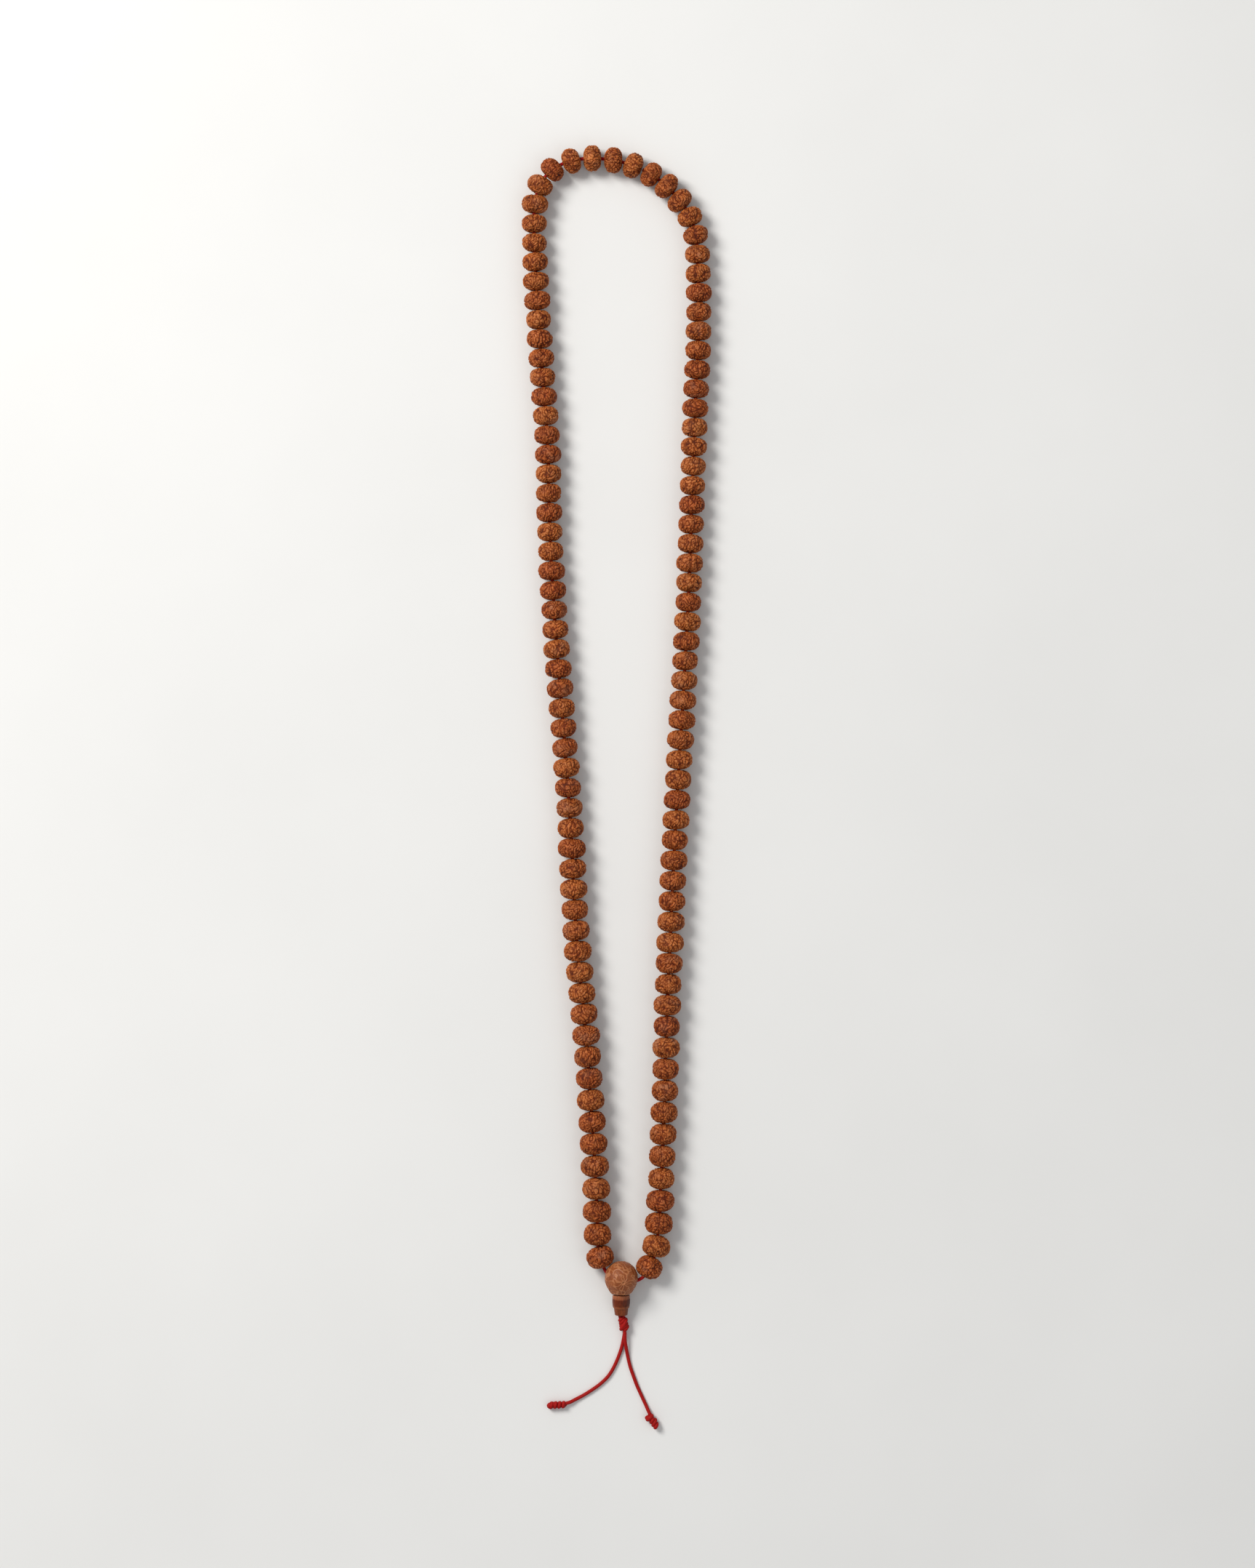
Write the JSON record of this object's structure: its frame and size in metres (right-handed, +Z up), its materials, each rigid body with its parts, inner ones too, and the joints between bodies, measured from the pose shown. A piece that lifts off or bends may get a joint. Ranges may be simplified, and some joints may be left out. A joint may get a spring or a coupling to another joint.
{
  "type": "mala prayer beads",
  "caption": "Looped strand of seed prayer beads on a red cord, closed by a larger guru bead, a small turned tower bead, a wrapped knot and two knotted cord tails.",
  "frame": {"origin": "the point of the resting plane right under the guru bead's centre", "axes": "+Z up from the resting plane, +Y from the guru bead towards the loop's far end, +X to the right as seen from above with the tails nearest"},
  "size_m": [0.059, 0.3972, 0.0103],
  "materials": {
    "seed": "waxed, deeply grained seed, reddish brown",
    "guru_seed": "waxed seed with a raised pale vein network",
    "turned_wood": "turned and varnished, dark red-brown",
    "red_cord": "fine braided cord, bright red"
  },
  "bodies": {
    "guru": {"guru_bead": "guru_seed", "loop_cord": "red_cord"},
    "left_link_01": {"beads_001_002": "seed"},
    "left_link_02": {"beads_003_004": "seed"},
    "left_link_03": {"beads_005_006": "seed"},
    "left_link_04": {"beads_007_008": "seed"},
    "left_link_05": {"beads_009_010": "seed", "beads_011_013": "seed"},
    "left_link_07": {"beads_014_016": "seed"},
    "left_link_08": {"beads_017_019": "seed"},
    "left_link_09": {"beads_020_022": "seed"},
    "left_link_10": {"beads_023_025": "seed"},
    "left_link_11": {"beads_026_028": "seed"},
    "left_link_12": {"beads_029_030": "seed"},
    "left_link_13": {"beads_031_032": "seed"},
    "left_link_14": {"beads_033_034": "seed"},
    "left_link_15": {"beads_035_036": "seed"},
    "left_link_16": {"beads_037_038": "seed"},
    "left_link_17": {"beads_039_040": "seed"},
    "left_link_18": {"beads_041_042": "seed"},
    "left_link_19": {"beads_043_044": "seed"},
    "left_link_20": {"beads_045_046": "seed"},
    "left_link_21": {"beads_047_048": "seed"},
    "left_link_22": {"beads_049_050": "seed"},
    "left_link_23": {"beads_051_052": "seed"},
    "left_link_24": {"beads_053_054": "seed"},
    "left_link_25": {"beads_055_056": "seed"},
    "left_link_26": {"beads_057_058": "seed"},
    "right_link_01": {"beads_114_115": "seed"},
    "right_link_02": {"beads_112_113": "seed"},
    "right_link_03": {"beads_110_111": "seed"},
    "right_link_04": {"beads_108_109": "seed"},
    "right_link_05": {"beads_106_107": "seed"},
    "right_link_06": {"beads_103_105": "seed"},
    "right_link_07": {"beads_100_102": "seed"},
    "right_link_08": {"beads_097_099": "seed"},
    "right_link_09": {"beads_094_096": "seed"},
    "right_link_10": {"beads_091_093": "seed"},
    "right_link_11": {"beads_089_090": "seed"},
    "right_link_12": {"beads_087_088": "seed"},
    "right_link_13": {"beads_085_086": "seed"},
    "right_link_14": {"beads_083_084": "seed"},
    "right_link_15": {"beads_081_082": "seed"},
    "right_link_16": {"beads_079_080": "seed"},
    "right_link_17": {"beads_077_078": "seed"},
    "right_link_18": {"beads_075_076": "seed"},
    "right_link_19": {"beads_073_074": "seed"},
    "right_link_20": {"beads_071_072": "seed"},
    "right_link_21": {"beads_069_070": "seed"},
    "right_link_22": {"beads_067_068": "seed"},
    "right_link_23": {"beads_065_066": "seed"},
    "right_link_24": {"beads_063_064": "seed"},
    "right_link_25": {"beads_061_062": "seed"},
    "right_link_26": {"beads_059_060": "seed"},
    "tassel_head": {"tower_bead": "turned_wood", "main_knot": "red_cord"},
    "tail_left": {"tail_cord_left": "red_cord", "end_knot_left": "red_cord"},
    "tail_right": {"tail_cord_right": "red_cord", "end_knot_right": "red_cord"}
  },
  "joints": [
    {"name": "loop_spread", "type": "hinge", "parent": "guru", "child": "left_link_01", "pos_m": [-0.00546, 0.00328, 0.00435], "axis": [0, 0, 1], "range_deg": [-1.57, 5.93], "deforming": ["loop_cord"]},
    {"name": "left_flex_02", "type": "hinge", "parent": "left_link_01", "child": "left_link_02", "pos_m": [-0.00742, 0.01723, 0.00433], "axis": [0, 0, 1], "range_deg": [-1.48, 5.55]},
    {"name": "left_flex_03", "type": "hinge", "parent": "left_link_02", "child": "left_link_03", "pos_m": [-0.00793, 0.03118, 0.00432], "axis": [0, 0, 1], "range_deg": [-1.24, 4.63]},
    {"name": "left_flex_04", "type": "hinge", "parent": "left_link_03", "child": "left_link_04", "pos_m": [-0.00875, 0.0449, 0.00431], "axis": [0, 0, 1], "range_deg": [-0.89, 3.33]},
    {"name": "left_flex_05", "type": "hinge", "parent": "left_link_04", "child": "left_link_05", "pos_m": [-0.00963, 0.05841, 0.00429], "axis": [0, 0, 1], "range_deg": [-0.4, 1.47]},
    {"name": "left_flex_07", "type": "hinge", "parent": "left_link_05", "child": "left_link_07", "pos_m": [-0.01248, 0.09135, 0.00426], "axis": [0, 0, 1], "range_deg": [-1.69, 0.46]},
    {"name": "left_flex_08", "type": "hinge", "parent": "left_link_07", "child": "left_link_08", "pos_m": [-0.01415, 0.11064, 0.00424], "axis": [0, 0, 1], "range_deg": [-2.76, 0.74]},
    {"name": "left_flex_09", "type": "hinge", "parent": "left_link_08", "child": "left_link_09", "pos_m": [-0.0151, 0.12969, 0.00423], "axis": [0, 0, 1], "range_deg": [-3.53, 0.95]},
    {"name": "left_flex_10", "type": "hinge", "parent": "left_link_09", "child": "left_link_10", "pos_m": [-0.01623, 0.14848, 0.00421], "axis": [0, 0, 1], "range_deg": [-3.99, 1.07]},
    {"name": "left_flex_11", "type": "hinge", "parent": "left_link_10", "child": "left_link_11", "pos_m": [-0.01762, 0.16702, 0.00419], "axis": [0, 0, 1], "range_deg": [-4.18, 1.12]},
    {"name": "left_flex_12", "type": "hinge", "parent": "left_link_11", "child": "left_link_12", "pos_m": [-0.01912, 0.18538, 0.00417], "axis": [0, 0, 1], "range_deg": [-4.17, 1.12]},
    {"name": "left_flex_13", "type": "hinge", "parent": "left_link_12", "child": "left_link_13", "pos_m": [-0.02009, 0.19754, 0.00416], "axis": [0, 0, 1], "range_deg": [-4.09, 1.09]},
    {"name": "left_flex_14", "type": "hinge", "parent": "left_link_13", "child": "left_link_14", "pos_m": [-0.02092, 0.20965, 0.00415], "axis": [0, 0, 1], "range_deg": [-4.02, 1.08]},
    {"name": "left_flex_15", "type": "hinge", "parent": "left_link_14", "child": "left_link_15", "pos_m": [-0.02165, 0.22171, 0.00414], "axis": [0, 0, 1], "range_deg": [-3.97, 1.06]},
    {"name": "left_flex_16", "type": "hinge", "parent": "left_link_15", "child": "left_link_16", "pos_m": [-0.02217, 0.23374, 0.00412], "axis": [0, 0, 1], "range_deg": [-3.86, 1.03]},
    {"name": "left_flex_17", "type": "hinge", "parent": "left_link_16", "child": "left_link_17", "pos_m": [-0.02241, 0.24575, 0.00411], "axis": [0, 0, 1], "range_deg": [-3.61, 0.97]},
    {"name": "left_flex_18", "type": "hinge", "parent": "left_link_17", "child": "left_link_18", "pos_m": [-0.02277, 0.25772, 0.0041], "axis": [0, 0, 1], "range_deg": [-3.15, 0.84]},
    {"name": "left_flex_19", "type": "hinge", "parent": "left_link_18", "child": "left_link_19", "pos_m": [-0.02355, 0.26965, 0.00409], "axis": [0, 0, 1], "range_deg": [-2.44, 0.66]},
    {"name": "left_flex_20", "type": "hinge", "parent": "left_link_19", "child": "left_link_20", "pos_m": [-0.02452, 0.28155, 0.00408], "axis": [0, 0, 1], "range_deg": [-1.39, 0.38]},
    {"name": "left_flex_21", "type": "hinge", "parent": "left_link_20", "child": "left_link_21", "pos_m": [-0.02537, 0.29345, 0.00407], "axis": [0, 0, 1], "range_deg": [-0.05, 0.13]},
    {"name": "left_flex_22", "type": "hinge", "parent": "left_link_21", "child": "left_link_22", "pos_m": [-0.02614, 0.30534, 0.00406], "axis": [0, 0, 1], "range_deg": [-0.53, 1.95]},
    {"name": "left_flex_23", "type": "hinge", "parent": "left_link_22", "child": "left_link_23", "pos_m": [-0.02672, 0.31723, 0.00404], "axis": [0, 0, 1], "range_deg": [-1, 3.73]},
    {"name": "left_flex_24", "type": "hinge", "parent": "left_link_23", "child": "left_link_24", "pos_m": [-0.0269, 0.32915, 0.00403], "axis": [0, 0, 1], "range_deg": [-1.44, 5.41]},
    {"name": "left_flex_25", "type": "hinge", "parent": "left_link_24", "child": "left_link_25", "pos_m": [-0.02349, 0.34062, 0.00402], "axis": [0, 0, 1], "range_deg": [-1.84, 6.91]},
    {"name": "left_flex_26", "type": "hinge", "parent": "left_link_25", "child": "left_link_26", "pos_m": [-0.01223, 0.34615, 0.00401], "axis": [0, 0, 1], "range_deg": [-2.06, 7.74]},
    {"name": "right_flex_01", "type": "hinge", "parent": "guru", "child": "right_link_01", "pos_m": [0.00669, 0.00019, 0.00435], "axis": [0, 0, 1], "range_deg": [-6.55, 1.75]},
    {"name": "right_flex_02", "type": "hinge", "parent": "right_link_01", "child": "right_link_02", "pos_m": [0.01133, 0.01334, 0.00433], "axis": [0, 0, 1], "range_deg": [-6.05, 1.61]},
    {"name": "right_flex_03", "type": "hinge", "parent": "right_link_02", "child": "right_link_03", "pos_m": [0.01224, 0.02727, 0.00432], "axis": [0, 0, 1], "range_deg": [-5.16, 1.38]},
    {"name": "right_flex_04", "type": "hinge", "parent": "right_link_03", "child": "right_link_04", "pos_m": [0.01285, 0.041, 0.00431], "axis": [0, 0, 1], "range_deg": [-3.7, 0.99]},
    {"name": "right_flex_05", "type": "hinge", "parent": "right_link_04", "child": "right_link_05", "pos_m": [0.01339, 0.05453, 0.00429], "axis": [0, 0, 1], "range_deg": [-1.45, 0.39]},
    {"name": "right_flex_06", "type": "hinge", "parent": "right_link_05", "child": "right_link_06", "pos_m": [0.01378, 0.06787, 0.00428], "axis": [0, 0, 1], "range_deg": [-0.23, 0.82]},
    {"name": "right_flex_07", "type": "hinge", "parent": "right_link_06", "child": "right_link_07", "pos_m": [0.01442, 0.08757, 0.00426], "axis": [0, 0, 1], "range_deg": [-0.69, 2.57]},
    {"name": "right_flex_08", "type": "hinge", "parent": "right_link_07", "child": "right_link_08", "pos_m": [0.01526, 0.10692, 0.00424], "axis": [0, 0, 1], "range_deg": [-0.99, 3.71]},
    {"name": "right_flex_09", "type": "hinge", "parent": "right_link_08", "child": "right_link_09", "pos_m": [0.01615, 0.12597, 0.00423], "axis": [0, 0, 1], "range_deg": [-1.15, 4.29]},
    {"name": "right_flex_10", "type": "hinge", "parent": "right_link_09", "child": "right_link_10", "pos_m": [0.0171, 0.14477, 0.00421], "axis": [0, 0, 1], "range_deg": [-1.18, 4.43]},
    {"name": "right_flex_11", "type": "hinge", "parent": "right_link_10", "child": "right_link_11", "pos_m": [0.01819, 0.16334, 0.00419], "axis": [0, 0, 1], "range_deg": [-1.14, 4.27]},
    {"name": "right_flex_12", "type": "hinge", "parent": "right_link_11", "child": "right_link_12", "pos_m": [0.01894, 0.17561, 0.00418], "axis": [0, 0, 1], "range_deg": [-1.07, 4]},
    {"name": "right_flex_13", "type": "hinge", "parent": "right_link_12", "child": "right_link_13", "pos_m": [0.01965, 0.18782, 0.00417], "axis": [0, 0, 1], "range_deg": [-1, 3.75]},
    {"name": "right_flex_14", "type": "hinge", "parent": "right_link_13", "child": "right_link_14", "pos_m": [0.02031, 0.19996, 0.00415], "axis": [0, 0, 1], "range_deg": [-0.95, 3.55]},
    {"name": "right_flex_15", "type": "hinge", "parent": "right_link_14", "child": "right_link_15", "pos_m": [0.02089, 0.21206, 0.00414], "axis": [0, 0, 1], "range_deg": [-0.91, 3.38]},
    {"name": "right_flex_16", "type": "hinge", "parent": "right_link_15", "child": "right_link_16", "pos_m": [0.02134, 0.22412, 0.00413], "axis": [0, 0, 1], "range_deg": [-0.86, 3.22]},
    {"name": "right_flex_17", "type": "hinge", "parent": "right_link_16", "child": "right_link_17", "pos_m": [0.02173, 0.23614, 0.00412], "axis": [0, 0, 1], "range_deg": [-0.81, 3.01]},
    {"name": "right_flex_18", "type": "hinge", "parent": "right_link_17", "child": "right_link_18", "pos_m": [0.02216, 0.24812, 0.00411], "axis": [0, 0, 1], "range_deg": [-0.73, 2.71]},
    {"name": "right_flex_19", "type": "hinge", "parent": "right_link_18", "child": "right_link_19", "pos_m": [0.02259, 0.26008, 0.0041], "axis": [0, 0, 1], "range_deg": [-0.6, 2.23]},
    {"name": "right_flex_20", "type": "hinge", "parent": "right_link_19", "child": "right_link_20", "pos_m": [0.02304, 0.27202, 0.00408], "axis": [0, 0, 1], "range_deg": [-0.4, 1.45]},
    {"name": "right_flex_21", "type": "hinge", "parent": "right_link_20", "child": "right_link_21", "pos_m": [0.02361, 0.28394, 0.00407], "axis": [0, 0, 1], "range_deg": [-0.09, 0.31]},
    {"name": "right_flex_22", "type": "hinge", "parent": "right_link_21", "child": "right_link_22", "pos_m": [0.02401, 0.29585, 0.00406], "axis": [0, 0, 1], "range_deg": [-1.29, 0.35]},
    {"name": "right_flex_23", "type": "hinge", "parent": "right_link_22", "child": "right_link_23", "pos_m": [0.02395, 0.30776, 0.00405], "axis": [0, 0, 1], "range_deg": [-3.05, 0.82]},
    {"name": "right_flex_24", "type": "hinge", "parent": "right_link_23", "child": "right_link_24", "pos_m": [0.02343, 0.31965, 0.00404], "axis": [0, 0, 1], "range_deg": [-5.03, 1.34]},
    {"name": "right_flex_25", "type": "hinge", "parent": "right_link_24", "child": "right_link_25", "pos_m": [0.01984, 0.33086, 0.00403], "axis": [0, 0, 1], "range_deg": [-7.1, 1.89]},
    {"name": "right_flex_26", "type": "hinge", "parent": "right_link_25", "child": "right_link_26", "pos_m": [0.01179, 0.33963, 0.00402], "axis": [0, 0, 1], "range_deg": [-8.24, 2.19]},
    {"name": "tassel_swing", "type": "hinge", "parent": "guru", "child": "tassel_head", "pos_m": [0, -0.0046, 0.0041], "axis": [0, 0, 1], "range_deg": [-6, 6]},
    {"name": "tail_left_swing", "type": "hinge", "parent": "tassel_head", "child": "tail_left", "pos_m": [0.001, -0.0176, 0.00072], "axis": [0, 0, 1], "range_deg": [-30, 2]},
    {"name": "tail_right_swing", "type": "hinge", "parent": "tassel_head", "child": "tail_right", "pos_m": [0.00115, -0.0176, 0.00192], "axis": [0, 0, 1], "range_deg": [-2, 30]}
  ],
  "couplings": [
    {"joint": "left_flex_02", "follows": "loop_spread", "ratio": 0.9328},
    {"joint": "left_flex_03", "follows": "loop_spread", "ratio": 0.7789},
    {"joint": "left_flex_04", "follows": "loop_spread", "ratio": 0.5588},
    {"joint": "left_flex_05", "follows": "loop_spread", "ratio": 0.2455},
    {"joint": "left_flex_07", "follows": "loop_spread", "ratio": -0.2819},
    {"joint": "left_flex_08", "follows": "loop_spread", "ratio": -0.463},
    {"joint": "left_flex_09", "follows": "loop_spread", "ratio": -0.5935},
    {"joint": "left_flex_10", "follows": "loop_spread", "ratio": -0.6708},
    {"joint": "left_flex_11", "follows": "loop_spread", "ratio": -0.7017},
    {"joint": "left_flex_12", "follows": "loop_spread", "ratio": -0.7012},
    {"joint": "left_flex_13", "follows": "loop_spread", "ratio": -0.6866},
    {"joint": "left_flex_14", "follows": "loop_spread", "ratio": -0.6756},
    {"joint": "left_flex_15", "follows": "loop_spread", "ratio": -0.6671},
    {"joint": "left_flex_16", "follows": "loop_spread", "ratio": -0.649},
    {"joint": "left_flex_17", "follows": "loop_spread", "ratio": -0.6056},
    {"joint": "left_flex_18", "follows": "loop_spread", "ratio": -0.5279},
    {"joint": "left_flex_19", "follows": "loop_spread", "ratio": -0.4092},
    {"joint": "left_flex_20", "follows": "loop_spread", "ratio": -0.2315},
    {"joint": "left_flex_21", "follows": "loop_spread", "ratio": 0.0193},
    {"joint": "left_flex_22", "follows": "loop_spread", "ratio": 0.3264},
    {"joint": "left_flex_23", "follows": "loop_spread", "ratio": 0.6273},
    {"joint": "left_flex_24", "follows": "loop_spread", "ratio": 0.9099},
    {"joint": "left_flex_25", "follows": "loop_spread", "ratio": 1.1623},
    {"joint": "left_flex_26", "follows": "loop_spread", "ratio": 1.3035},
    {"joint": "right_flex_01", "follows": "loop_spread", "ratio": -1.1022},
    {"joint": "right_flex_02", "follows": "loop_spread", "ratio": -1.0171},
    {"joint": "right_flex_03", "follows": "loop_spread", "ratio": -0.8677},
    {"joint": "right_flex_04", "follows": "loop_spread", "ratio": -0.6219},
    {"joint": "right_flex_05", "follows": "loop_spread", "ratio": -0.2416},
    {"joint": "right_flex_06", "follows": "loop_spread", "ratio": 0.135},
    {"joint": "right_flex_07", "follows": "loop_spread", "ratio": 0.4301},
    {"joint": "right_flex_08", "follows": "loop_spread", "ratio": 0.6232},
    {"joint": "right_flex_09", "follows": "loop_spread", "ratio": 0.7215},
    {"joint": "right_flex_10", "follows": "loop_spread", "ratio": 0.7442},
    {"joint": "right_flex_11", "follows": "loop_spread", "ratio": 0.7172},
    {"joint": "right_flex_12", "follows": "loop_spread", "ratio": 0.6725},
    {"joint": "right_flex_13", "follows": "loop_spread", "ratio": 0.6297},
    {"joint": "right_flex_14", "follows": "loop_spread", "ratio": 0.5956},
    {"joint": "right_flex_15", "follows": "loop_spread", "ratio": 0.5679},
    {"joint": "right_flex_16", "follows": "loop_spread", "ratio": 0.5403},
    {"joint": "right_flex_17", "follows": "loop_spread", "ratio": 0.5059},
    {"joint": "right_flex_18", "follows": "loop_spread", "ratio": 0.455},
    {"joint": "right_flex_19", "follows": "loop_spread", "ratio": 0.373},
    {"joint": "right_flex_20", "follows": "loop_spread", "ratio": 0.2426},
    {"joint": "right_flex_21", "follows": "loop_spread", "ratio": 0.0491},
    {"joint": "right_flex_22", "follows": "loop_spread", "ratio": -0.2143},
    {"joint": "right_flex_23", "follows": "loop_spread", "ratio": -0.5111},
    {"joint": "right_flex_24", "follows": "loop_spread", "ratio": -0.8459},
    {"joint": "right_flex_25", "follows": "loop_spread", "ratio": -1.1941},
    {"joint": "right_flex_26", "follows": "loop_spread", "ratio": -1.3866}
  ]
}
